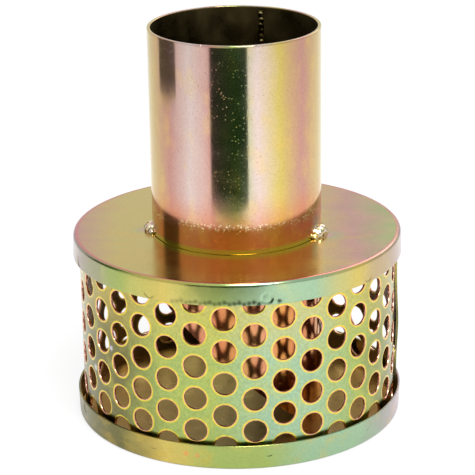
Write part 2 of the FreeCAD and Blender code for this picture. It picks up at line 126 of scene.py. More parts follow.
def make_object(bm: bmesh.types.BMesh, name: str, sharp_degrees: float = 40) -> bpy.types.Object:
    """Turn a finished mesh into a smooth-shaded object at the origin.

    Args:
        bm: the mesh, which is freed.
        name: the object's name.
        sharp_degrees: edges that turn more than this stay sharp.

    Returns:
        The new object.
    """
    mesh = bpy.data.meshes.new(name)
    bm.to_mesh(mesh)
    bm.free()
    mesh.shade_smooth()
    mesh.set_sharp_from_angle(angle=math.radians(sharp_degrees))
    piece = bpy.data.objects.new(name, mesh)
    bpy.context.scene.collection.objects.link(piece)
    return piece


def hand_over(piece: bpy.types.Object, node: str, materials: list[bpy.types.Material]) -> None:
    """Dress a piece and let it stand for a node of the model.

    Args:
        piece: the new piece.
        node: the node that it replaces.
        materials: its materials, in the order of the faces' indices.
    """
    for material in materials:
        piece.data.materials.append(material)
    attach(piece, "root")
    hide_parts(node)
    LOG.info("%s: %d faces in place of %s", piece.name, len(piece.data.polygons), node)


# ---- finishes


def linear(hex_code: str) -> tuple[float, float, float, float]:
    """Linear RGBA of an sRGB hex colour."""
    parts = [int(hex_code[start:start + 2], 16) / 255 for start in (1, 3, 5)]
    return (*(part / 12.92 if part <= 0.04045 else ((part + 0.055) / 1.055) ** 2.4 for part in parts), 1.0)


class Graph:
    """Node tree of a new material."""

    def __init__(self, name: str) -> None:
        """Start an empty material.

        Args:
            name: the material's name.
        """
        self.material = bpy.data.materials.new(name)
        self.material.use_nodes = True
        self.tree = self.material.node_tree
        self.tree.nodes.clear()

    def add(self, kind: str, inputs: dict | None = None, stops: Stops = (), out: int | str = 0, **settings) -> Socket:
        """Add a node with its settings and links.

        Args:
            kind: the node's type.
            inputs: value or linked socket of each input, by name or index.
            stops: (place, colour) pairs of a colour ramp.
            out: name or index of the output to return.
            **settings: the node's own properties.

        Returns:
            The chosen output.
        """
        node = self.tree.nodes.new(kind)
        for name, value in settings.items():
            setattr(node, name, value)
        for index, (place, colour) in enumerate(stops):
            elements = node.color_ramp.elements
            element = elements[index] if index < 2 else elements.new(place)
            element.position = place
            element.color = linear(colour)
        for key, value in (inputs or {}).items():
            if isinstance(value, Socket):
                self.tree.links.new(value, node.inputs[key])
            else:
                node.inputs[key].default_value = value
        return node.outputs[out] if node.outputs else None


class Tint(Enum):
    """Tints that a yellow passivation film runs through as it gets thicker, and dull dark ones, which are partly
    painted shade.
    """

    STRAW = "#c4b060"
    GOLD = "#cca050"
    COPPER = "#cc7840"
    ROSE = "#bc8c80"
    MAUVE = "#9c8490"
    MIST = "#ccb8b0"
    SAGE = "#98a860"
    MINT = "#94b090"
    OLIVE = "#706c44"
    BARK = "#7c5c40"


@dataclass(frozen=True)
class ZincFilm:
    """Bright zinc plate under a thin passivation film.

    The film is thick enough to show colours of interference: they run in wide bands round the
    part and drift in soft clouds, and the plate under them shines like dull chrome. The bands run
    from left to right as the camera sees the part; on the tube and the screen they also carry
    painted reflections and painted shade. Real zinc has crystals finer than 0.1 mm; the grain is
    drawn coarser, because it would not show otherwise.
    """

    name: str
    half_width: float
    sweep: tuple[Tint, ...]
    rise: tuple[float, float] = (0.0, 1.0)
    rise_tint: Tint = Tint.STRAW
    rise_share: float = 0.0
    roughness: float = 0.2
    wander: float = 0.06
    climb: float = 16 * MM
    cloud: tuple[float, float, float] = (16 * MM, 16 * MM, 30 * MM)
    cloud_colour: str = "#d8b050"
    cloud_share: float = 0.35
    grain: float = 0.5 * MM
    mottle: float = 0.07
    wave: float = 11 * MM
    wave_depth: float = 0.02 * MM

    def bands(self, g: Graph, place: Socket) -> Socket:
        """A sweep of tints from left to right and one tint with height, drifting with a soft noise.

        Args:
            g: the material's graph.
            place: the object's own coordinates.

        Returns:
            The film's colour.
        """
        scale = tuple(1 / size for size in self.cloud)
        cloud_place = g.add("ShaderNodeMapping", {"Vector": place, "Scale": scale})
        cloud = g.add("ShaderNodeTexNoise", {"Vector": cloud_place, "Scale": 1.0, "Detail": 3.0, "Roughness": 0.55})
        drift = g.add("ShaderNodeMath", {0: cloud, 1: 0.5}, operation="SUBTRACT")
        across = g.add("ShaderNodeSeparateXYZ", {"Vector": place}, out="X")
        side = g.add("ShaderNodeMath", {0: across, 1: 0.5 / self.half_width, 2: 0.5}, operation="MULTIPLY_ADD")
        moved = g.add("ShaderNodeMath", {0: drift, 1: self.wander * 2, 2: side}, operation="MULTIPLY_ADD")
        level = g.add("ShaderNodeSeparateXYZ", {"Vector": place}, out="Z")
        wavy_level = g.add("ShaderNodeMath", {0: drift, 1: self.climb, 2: level}, operation="MULTIPLY_ADD")
        stops = tuple((step / (len(self.sweep) - 1), tint.value) for step, tint in enumerate(self.sweep))
        sweep = g.add("ShaderNodeValToRGB", {"Fac": moved}, stops=stops)
        share = g.add("ShaderNodeMapRange", {"Value": wavy_level, "From Min": self.rise[0],
                                             "From Max": self.rise[1], "To Max": self.rise_share},
                      interpolation_type="SMOOTHSTEP")
        film = g.add("ShaderNodeMix", {0: share, 6: sweep, 7: linear(self.rise_tint.value)},
                     out=2, data_type="RGBA")
        patch_place = g.add("ShaderNodeMapping", {"Vector": place, "Scale": scale, "Location": (3.1, 1.7, 5.2)})
        patch = g.add("ShaderNodeTexNoise", {"Vector": patch_place, "Scale": 1.3, "Detail": 4.0})
        patch_share = g.add("ShaderNodeMapRange", {"Value": patch, "From Min": 0.5, "From Max": 0.68,
                                                   "To Max": self.cloud_share}, interpolation_type="SMOOTHSTEP")
        return g.add("ShaderNodeMix", {0: patch_share, 6: film, 7: linear(self.cloud_colour)},
                     out=2, data_type="RGBA")

    def marks(self, g: Graph, place: Socket, colour: Socket) -> Socket:
        """Colour of the film with the piece's own marks; plain sheet has none."""
        return colour

    def relief(self, g: Graph, place: Socket) -> Socket:
        """Gentle waves of the rolled sheet under a fine pickled grain.

        Args:
            g: the material's graph.
            place: the object's own coordinates.

        Returns:
            The surface's normal.
        """
        waves = g.add("ShaderNodeTexNoise", {"Vector": place, "Scale": 1 / self.wave, "Detail": 1.0})
        wavy = g.add("ShaderNodeBump", {"Height": waves, "Strength": 1.0, "Distance": self.wave_depth})
        grain = g.add("ShaderNodeTexNoise", {"Vector": place, "Scale": 1 / self.grain, "Detail": 2.0})
        return g.add("ShaderNodeBump", {"Height": grain, "Strength": 0.25, "Distance": 0.012 * MM, "Normal": wavy})

    def material(self) -> bpy.types.Material:
        """Build the finish as a material.

        Returns:
            The new material.
        """
        g = Graph(self.name)
        place = g.add("ShaderNodeTexCoord", out="Object")
        colour = self.marks(g, place, self.bands(g, place))
        # The plate's crystals tint the film lighter and darker from one to the next.
        grain = g.add("ShaderNodeTexNoise", {"Vector": place, "Scale": 0.6 / self.grain, "Detail": 3.0})
        shade = g.add("ShaderNodeMapRange", {"Value": grain, "From Min": 0.3, "From Max": 0.7,
                                             "To Min": 1 - self.mottle, "To Max": 1 + self.mottle})
        tinted = g.add("ShaderNodeHueSaturation", {"Color": colour, "Value": shade})
        haze = g.add("ShaderNodeTexNoise", {"Vector": place, "Scale": 1 / (9 * MM), "Detail": 3.0})
        roughness = g.add("ShaderNodeMapRange", {"Value": haze, "From Min": 0.3, "From Max": 0.7,
                                                 "To Min": self.roughness * 0.8, "To Max": self.roughness * 1.25})
        shader = g.add("ShaderNodeBsdfPrincipled", {"Base Color": tinted, "Metallic": 1.0, "Roughness": roughness,
                                                    "Normal": self.relief(g, place)})
        g.add("ShaderNodeOutputMaterial", {"Surface": shader})
        return g.material


@dataclass(frozen=True)
class Mark:
    """Small bare or burnt place on the film."""

    at: Vector
    size: float
    colour: str
    strength: float = 0.8

    def over(self, g: Graph, place: Socket, colour: Socket) -> Socket:
        """Colour with this mark on it.

        Args:
            g: the material's graph.
            place: the object's own coordinates.
            colour: the colour under the mark.

        Returns:
            The marked colour.
        """
        ragged = g.add("ShaderNodeTexNoise", {"Vector": place, "Scale": 2.2 / self.size, "Detail": 3.0})
        spread = g.add("ShaderNodeMath", {0: ragged, 1: self.size, 2: self.size * 0.4}, operation="MULTIPLY_ADD")
        distance = g.add("ShaderNodeVectorMath", {0: place, 1: self.at}, out="Value", operation="DISTANCE")
        share = g.add("ShaderNodeMapRange", {"Value": distance, "From Min": spread, "From Max": self.size * 0.25,
                                             "To Min": 0.0, "To Max": self.strength})
        return g.add("ShaderNodeMix", {0: share, 6: colour, 7: linear(self.colour)}, out=2, data_type="RGBA")


@dataclass(frozen=True)
class MarkedFilm(ZincFilm):
    """Film with nicks and scuffs at given places."""

    nicks: tuple[Mark, ...] = ()

    def marks(self, g: Graph, place: Socket, colour: Socket) -> Socket:
        """Colour of the film with its nicks.

        Args:
            g: the material's graph.
            place: the object's own coordinates.
            colour: the film's colour.

        Returns:
            The nicked colour.
        """
        for nick in self.nicks:
            colour = nick.over(g, place, colour)
        return colour


@dataclass(frozen=True)
class TubeFilm(MarkedFilm):
    """Film on the drawn tube, with pits and short scratches that glint."""

    pit: float = 1.3 * MM
    spatter_height: float = 98.5 * MM
    foot_height: float = 87 * MM

    def marks(self, g: Graph, place: Socket, colour: Socket) -> Socket:
        """Colour of the film with weld spatter above the cap, its dots painted near-white as glints, and a yellow line
        where it meets the cap.

        Args:
            g: the material's graph.
            place: the object's own coordinates.
            colour: the film's colour.

        Returns:
            The marked colour.
        """
        colour = super().marks(g, place, colour)
        dots = g.add("ShaderNodeTexVoronoi", {"Vector": place, "Scale": 1 / (1.1 * MM), "Randomness": 1.0},
                     out="Distance")
        dot = g.add("ShaderNodeMapRange", {"Value": dots, "From Min": 0.36, "From Max": 0.26})
        height = g.add("ShaderNodeSeparateXYZ", {"Vector": place}, out="Z")
        ragged = g.add("ShaderNodeTexNoise", {"Vector": place, "Scale": 1 / (7 * MM), "Detail": 2.0})
        line = g.add("ShaderNodeMath", {0: ragged, 1: 6 * MM, 2: height}, operation="MULTIPLY_ADD")
        off = g.add("ShaderNodeMath", {0: line, 1: self.spatter_height + 3 * MM}, operation="SUBTRACT")
        away = g.add("ShaderNodeMath", {0: off}, operation="ABSOLUTE")
        ring = g.add("ShaderNodeMapRange", {"Value": away, "From Min": 2.2 * MM, "From Max": 0.6 * MM})
        share = g.add("ShaderNodeMath", {0: dot, 1: ring}, operation="MULTIPLY")
        # Spatter dots painted near-white: the spatter is real, its brightness a painted glint.
        spattered = g.add("ShaderNodeMix", {0: share, 6: colour, 7: linear("#fbf2cc")}, out=2, data_type="RGBA")
        above = g.add("ShaderNodeMath", {0: height, 1: self.foot_height}, operation="SUBTRACT")
        near = g.add("ShaderNodeMath", {0: above}, operation="ABSOLUTE")
        foot = g.add("ShaderNodeMapRange", {"Value": near, "From Min": 2.2 * MM, "From Max": 0.8 * MM,
                                            "To Max": 0.8})
        return g.add("ShaderNodeMix", {0: foot, 6: spattered, 7: linear("#b4b44c")}, out=2, data_type="RGBA")

    def relief(self, g: Graph, place: Socket) -> Socket:
        """Sheet's relief with scattered pits.

        Args:
            g: the material's graph.
            place: the object's own coordinates.

        Returns:
            The surface's normal.
        """
        sheet = super().relief(g, place)
        dots = g.add("ShaderNodeTexVoronoi", {"Vector": place, "Scale": 1 / self.pit, "Randomness": 1.0},
                     out="Distance")
        pit = g.add("ShaderNodeMapRange", {"Value": dots, "From Min": 0.16, "From Max": 0.02})
        where = g.add("ShaderNodeTexNoise", {"Vector": place, "Scale": 1 / (14 * MM), "Detail": 2.0})
        worn = g.add("ShaderNodeMapRange", {"Value": where, "From Min": 0.45, "From Max": 0.6})
        depth = g.add("ShaderNodeMath", {0: pit, 1: worn}, operation="MULTIPLY")
        pitted = g.add("ShaderNodeBump", {"Height": depth, "Strength": 1.0, "Distance": 0.12 * MM, "Normal": sheet},
                       invert=True)
        # Real scratches are hair-fine; these are about 1 mm wide and 8 mm long, so that they show.
        lines_place = g.add("ShaderNodeMapping", {"Vector": place, "Scale": (0.9 / MM, 0.9 / MM, 0.12 / MM),
                                                  "Rotation": (0.2, 0.1, 0.0)})
        lines = g.add("ShaderNodeTexNoise", {"Vector": lines_place, "Scale": 1.0, "Detail": 1.0})
        scratch = g.add("ShaderNodeMapRange", {"Value": lines, "From Min": 0.66, "From Max": 0.74})
        return g.add("ShaderNodeBump", {"Height": scratch, "Strength": 0.25, "Distance": 0.02 * MM, "Normal": pitted})


@dataclass(frozen=True)
class PunchedFilm(MarkedFilm):
    """Film on the punched sheet: it runs thick round each hole as a yellow ring, and the pale pink at each hole's edge
    and wall is a painted highlight.
    """

    ring: float = 1.25

    def marks(self, g: Graph, place: Socket, colour: Socket) -> Socket:
        """Colour of the film with the rings round its holes.

        Args:
            g: the material's graph.
            place: the object's own coordinates.
            colour: the film's colour.

        Returns:
            The ringed colour.
        """
        colour = super().marks(g, place, colour)
        distance = g.add("ShaderNodeAttribute", attribute_name="hole_distance", out="Fac")
        uneven = g.add("ShaderNodeTexNoise", {"Vector": place, "Scale": 1 / (6 * MM), "Detail": 2.0})
        wide = g.add("ShaderNodeMapRange", {"Value": uneven, "From Min": 0.3, "From Max": 0.7,
                                            "To Min": self.ring * 0.8, "To Max": self.ring * 1.15})
        reach = g.add("ShaderNodeMath", {0: distance, 1: wide}, operation="DIVIDE")
        # Pale pink at the hole's edge and wall is a painted highlight of the lit lip; the yellow ring beyond it is the
        # film.
        ring = g.add("ShaderNodeValToRGB", {"Fac": reach},
                     stops=((0.0, "#e6b0a0"), (0.2, "#e4a888"), (0.32, "#e2b850"), (0.6, "#d6c63c"), (1.0, "#bcc048")))
        share = g.add("ShaderNodeMapRange", {"Value": reach, "From Min": 1.0, "From Max": 0.62,
                                             "To Max": 0.92}, interpolation_type="SMOOTHSTEP")
        return g.add("ShaderNodeMix", {0: share, 6: colour, 7: ring}, out=2, data_type="RGBA")


@dataclass(frozen=True)
class LidTopFilm(MarkedFilm):
    """Film on the cap's flat top, with a pink band where it nears the shoulder, which is a painted reflection."""

    band_from: float = 71.6 * MM
    band_to: float = 73.3 * MM

    def marks(self, g: Graph, place: Socket, colour: Socket) -> Socket:
        """Colour of the film with the painted reflection band at its edge.

        Args:
            g: the material's graph.
            place: the object's own coordinates.
            colour: the film's colour.

        Returns:
            The banded colour.
        """
        colour = super().marks(g, place, colour)
        # Pink band where the flat top meets the shoulder: a painted reflection of the rounded shoulder, not a film
        # colour.
        flat = g.add("ShaderNodeVectorMath", {0: place, 1: (1.0, 1.0, 0.0)}, operation="MULTIPLY")
        radius = g.add("ShaderNodeVectorMath", {0: flat}, out="Value", operation="LENGTH")
        share = g.add("ShaderNodeMapRange", {"Value": radius, "From Min": self.band_from, "From Max": self.band_to,
                                             "To Max": 0.7}, interpolation_type="SMOOTHSTEP")
        return g.add("ShaderNodeMix", {0: share, 6: colour, 7: linear("#cc7078")}, out=2, data_type="RGBA")


@dataclass(frozen=True)
class WeldMetal:
    """Plated weld bead: rippled, glassy steel painted with silver, gold and black side by side; the black patches are
    painted shade and the palest ones painted glints.
    """

    name: str
    stops: Stops
    patch: float = 2.6 * MM

    def material(self) -> bpy.types.Material:
        """Build the finish as a material.

        Returns:
            The new material.
        """
        g = Graph(self.name)
        place = g.add("ShaderNodeTexCoord", out="Object")
        patch = g.add("ShaderNodeTexNoise", {"Vector": place, "Scale": 1 / self.patch, "Detail": 3.0})
        # Patches laid by noise: the near-black stops are painted shade, the palest stops painted glints.
        colour = g.add("ShaderNodeValToRGB", {"Fac": patch}, stops=self.stops)
        fine = g.add("ShaderNodeTexNoise", {"Vector": place, "Scale": 1 / (0.7 * MM), "Detail": 3.0})
        normal = g.add("ShaderNodeBump", {"Height": fine, "Strength": 0.5, "Distance": 0.12 * MM})
        shader = g.add("ShaderNodeBsdfPrincipled", {"Base Color": colour, "Metallic": 1.0, "Roughness": 0.16,
                                                    "Normal": normal})
        g.add("ShaderNodeOutputMaterial", {"Surface": shader})
        return g.material


# Drawn tube, plated and passivated: the glossiest piece, pale rose and straw above a copper foot. Its pale mist and
# rose bands from left to right are partly the film's tints and partly painted reflections of the bright tent.
TAIL_OUTSIDE = TubeFilm(
    name="passivated_tube_and_painted_reflections",
    half_width=38.5 * MM,
    sweep=(Tint.STRAW, Tint.ROSE, Tint.MIST, Tint.ROSE, Tint.SAGE, Tint.MIST, Tint.STRAW, Tint.ROSE, Tint.STRAW),
    rise=(116 * MM, 92 * MM), rise_tint=Tint.COPPER, rise_share=0.75,
    roughness=0.12, wander=0.035, climb=12 * MM,
    cloud=(9 * MM, 9 * MM, 16 * MM), cloud_colour="#e0bc60", cloud_share=0.22,
    nicks=(Mark(around(38.5 * MM, 68, 92 * MM), 8 * MM, "#a8c4b4", 0.6),
           Mark(around(38.5 * MM, -80, 91 * MM), 6 * MM, "#b0bc88", 0.5)),
)

# Bore of the tube, rougher than its outside: dull and dark brown, and a little greener towards the mouth. The dark
# brown is partly painted shade of the deep bore.
TAIL_INSIDE = ZincFilm(
    name="passivated_bore_and_painted_shade",
    half_width=38.5 * MM,
    sweep=(Tint.BARK, Tint.BARK, Tint.BARK),
    rise=(60 * MM, 140 * MM), rise_tint=Tint.OLIVE, rise_share=0.7,
    roughness=0.3, cloud_colour="#8c7844", cloud_share=0.2,
)

# Pressed flat sheet: a soft straw and gold mirror that shows the tube upside down.
CAP_TOP = LidTopFilm(
    name="pressed_lid_top_and_painted_reflection",
    half_width=74.5 * MM,
    sweep=(Tint.ROSE, Tint.STRAW, Tint.STRAW, Tint.GOLD, Tint.GOLD, Tint.STRAW, Tint.ROSE, Tint.SAGE),
    roughness=0.19, wave=22 * MM, wave_depth=0.05 * MM,
    cloud=(34 * MM, 14 * MM, 14 * MM), cloud_colour="#d0ac54", cloud_share=0.3,
    nicks=(Mark(around(44 * MM, 71, 86.5 * MM), 9 * MM, "#98a878", 0.6),
           Mark(around(43 * MM, 71, 86.5 * MM), 5.5 * MM, "#c88c98", 0.6),
           Mark(around(43 * MM, -86, 86.5 * MM), 7 * MM, "#a8b070", 0.6),
           Mark(around(42 * MM, -86, 86.5 * MM), 4.5 * MM, "#cc9098", 0.5)),
)

SKIRT_RADIUS = 74.7 * MM
SCUFF_NICKS = 19
SCUFF_FROM_DEGREES = -22
SCUFF_STEP_DEGREES = 1.6

# Scuffs along the skirt's lower edge: a row of short dark nicks, darkest a little right of the front.
SKIRT_SCUFF = tuple(
    Mark(around(SKIRT_RADIUS, SCUFF_FROM_DEGREES + SCUFF_STEP_DEGREES * nick, (77.3 + 0.4 * (nick % 3)) * MM),
         1.7 * MM, "#282c22", 0.35 + 0.03 * nick)
    for nick in range(SCUFF_NICKS)
) + (Mark(around(SKIRT_RADIUS, 13.6, 78.0 * MM), 1.6 * MM, "#2c2c24", 0.9),)

# Pressed wall of the cap: straw and pale green, greyer at the sides.
CAP_SKIRT = MarkedFilm(
    name="yellow_passivated_pressed_skirt",
    half_width=SKIRT_RADIUS,
    sweep=(Tint.MAUVE, Tint.SAGE, Tint.STRAW, Tint.SAGE, Tint.MINT, Tint.MINT, Tint.STRAW, Tint.MAUVE),
    roughness=0.2, wander=0.04, cloud_colour="#c8c078", cloud_share=0.25,
    nicks=SKIRT_SCUFF,
)

# Inside of the pressed lids, less glossy: it reads as olive gold through the holes.
LID_INSIDE = ZincFilm(
    name="passivated_lid_inside",
    half_width=74.5 * MM,
    sweep=(Tint.GOLD, Tint.STRAW, Tint.GOLD),
    roughness=0.3, cloud_colour="#a48c50", cloud_share=0.3,
)

# Pressed rim near the ground: olive at the left, then straw and grey green.
BASE_RIM = MarkedFilm(
    name="yellow_passivated_pressed_rim",
    half_width=74.7 * MM,
    sweep=(Tint.OLIVE, Tint.OLIVE, Tint.STRAW, Tint.SAGE, Tint.SAGE, Tint.MINT, Tint.MINT, Tint.MAUVE),
    roughness=0.2, wander=0.05, cloud=(14 * MM, 14 * MM, 9 * MM), cloud_colour="#c8a848",
    cloud_share=0.3,
    nicks=(Mark(around(74.6 * MM, -18.5, 6.5 * MM), 2.0 * MM, "#e08c58", 0.6),
           Mark(around(74.6 * MM, -14.5, 6.0 * MM), 1.6 * MM, "#dc8454", 0.6)),
)

# Punched and rolled sheet: satin, sage and mint, straw near the cap, with a ring round each hole. The darker olive at
# its left and right sides is painted shade.
SCREEN_OUTSIDE = PunchedFilm(
    name="perforated_sheet_with_painted_light",
    half_width=72.0 * MM,
    sweep=(Tint.OLIVE, Tint.OLIVE, Tint.SAGE, Tint.SAGE, Tint.MINT, Tint.MINT, Tint.SAGE, Tint.OLIVE),
    rise=(45 * MM, 74 * MM), rise_tint=Tint.STRAW, rise_share=0.55,
    roughness=0.22, wander=0.05, climb=12 * MM, grain=0.7 * MM, mottle=0.13,
    cloud=(16 * MM, 16 * MM, 14 * MM), cloud_colour="#b4b450", cloud_share=0.3,
    nicks=(Mark(around(72 * MM, -51.5, 46.0 * MM), 1.8 * MM, "#c8c4d0", 0.8),
           Mark(around(72 * MM, -63.5, 31.5 * MM), 2.2 * MM, "#c4c8c8", 0.8)),
)

# Inside of the rolled sheet, rougher than its outside: dark brown, which is partly painted shade inside the drum.
SCREEN_INSIDE = PunchedFilm(
    name="perforated_sheet_inside_and_painted_shade",
    half_width=72.0 * MM,
    sweep=(Tint.BARK, Tint.OLIVE, Tint.BARK),
    roughness=0.3, cloud_colour="#9c8448", cloud_share=0.3,
)

# Weld metal under plate: glassy ripples of silver and gold with near-black patches; laid by noise, the near-black
# patches are painted shade and the palest ones painted glints.
TACK_METAL = WeldMetal(
    name="tack_weld_painted_glints_and_shade",
    stops=((0.34, "#5c5030"), (0.42, "#d0b050"), (0.5, "#f0e8dc"), (0.56, "#dca8a0"), (0.64, "#98a86c")),
)

# Weld metal of the tube's seam, under the same plate: duller and more even than the tacks.
SEAM_METAL = WeldMetal(
    name="seam_bead_painted_glints_and_shade",
    stops=((0.36, "#4c4830"), (0.46, "#8c7c48"), (0.54, "#e8d498"), (0.64, "#a09860")),
    patch=3.2 * MM,
)


# ---- pieces


@dataclass
class HoseTail:
    """Plain tube that the hose is pushed over, cut off obliquely inside the drum."""

    radius: float = 38.5 * MM
    wall: float = 1.5 * MM
    foot: float = 1.0 * MM
    top: float = 180.4 * MM
    cut_degrees: float = 42.4
    cut_at_axis: float = 27.7 * MM
    rim_round: float = 0.3 * MM
    steps: int = 256

    def build(self) -> bpy.types.Object:
        """Spin the wall, cut its inner end and close the cut.

        Returns:
            The tube.
        """
        bore = self.radius - self.wall
        below = self.foot - 10 * MM
        shoulder = self.top - 3 * self.rim_round
        bm = spin_section([(self.radius, below), (self.radius, shoulder), (self.radius, self.top),
                           (bore, self.top), (bore, shoulder), (bore, below)], self.steps, closed=False)
        for ring in (self.radius, bore):
            round_ring(bm, ring, self.top, self.rim_round, 3)
        slope = (math.tan(math.radians(self.cut_degrees)), 0.0, 1.0)
        for at, normal in (((0, 0, self.cut_at_axis), slope), ((0, 0, self.foot), (0, 0, 1))):
            bmesh.ops.bisect_plane(bm, geom=bm.verts[:] + bm.edges[:] + bm.faces[:], plane_co=at,
                                   plane_no=normal, clear_inner=True)
        bmesh.ops.bridge_loops(bm, edges=[edge for edge in bm.edges if edge.is_boundary])
        bmesh.ops.recalc_face_normals(bm, faces=bm.faces[:])
        for face in bm.faces:
            centre = face.calc_center_median()
            face.material_index = 1 if centre.xy.length < bore + 0.05 * MM else 0
        return make_object(bm, "hose_tail_tube")

    def dress(self, piece: bpy.types.Object) -> None:
        """Passivated film outside, dull brown film in the bore whose dark brown is partly painted shade."""
        hand_over(piece, "hose_tail", [TAIL_OUTSIDE.material(), TAIL_INSIDE.material()])


@dataclass
class SeamBead:
    """Bead of the tube's long seam: a low rippled line along the bore."""

    bore: float = 37.0 * MM
    degrees: float = 160.3
    low: float = 18.3 * MM
    high: float = 178.4 * MM
    width: float = 2.6 * MM
    height: float = 0.5 * MM
    ripple: float = 2.6 * MM

    def build(self) -> bpy.types.Object:
        """Raise ripples on a long strip and let its edges into the tube's wall.

        Returns:
            The bead.
        """
        bm = bmesh.new()
        length = self.high - self.low
        bmesh.ops.create_grid(bm, x_segments=10, y_segments=400, size=0.5)
        for vert in bm.verts:
            across, up = vert.co.x, vert.co.y * length
            crown = max(1 - (2 * across) ** 2, 0.0) ** 0.6
            wave = 0.5 + 0.5 * math.sin((up + across ** 2 * 3 * MM) / self.ripple * TURN)
            lump = 0.5 + noise.noise(Vector((across * 2, up / (1.8 * MM), 0.0)))
            rise = self.height * crown * (0.35 + 0.4 * wave + 0.25 * lump)
            wobble = noise.noise(Vector((0.0, up / (4 * MM), 3.0))) * 0.5 * MM
            angle = self.degrees - math.degrees((across * self.width + wobble) / self.bore)
            vert.co = around(self.bore - rise, angle, (self.low + self.high) / 2 + up)
        backed = bmesh.ops.extrude_face_region(bm, geom=bm.faces[:])["geom"]
        for vert in backed:
            if isinstance(vert, bmesh.types.BMVert):
                vert.co.xy = vert.co.xy.normalized() * (self.bore + 0.4 * MM)
        bmesh.ops.recalc_face_normals(bm, faces=bm.faces[:])
        return make_object(bm, "tail_seam_weld", sharp_degrees=70)

    def dress(self, piece: bpy.types.Object) -> None:
        """Weld metal with painted gold glints and painted black shade."""
        hand_over(piece, "tail_seam_bead", [SEAM_METAL.material()])


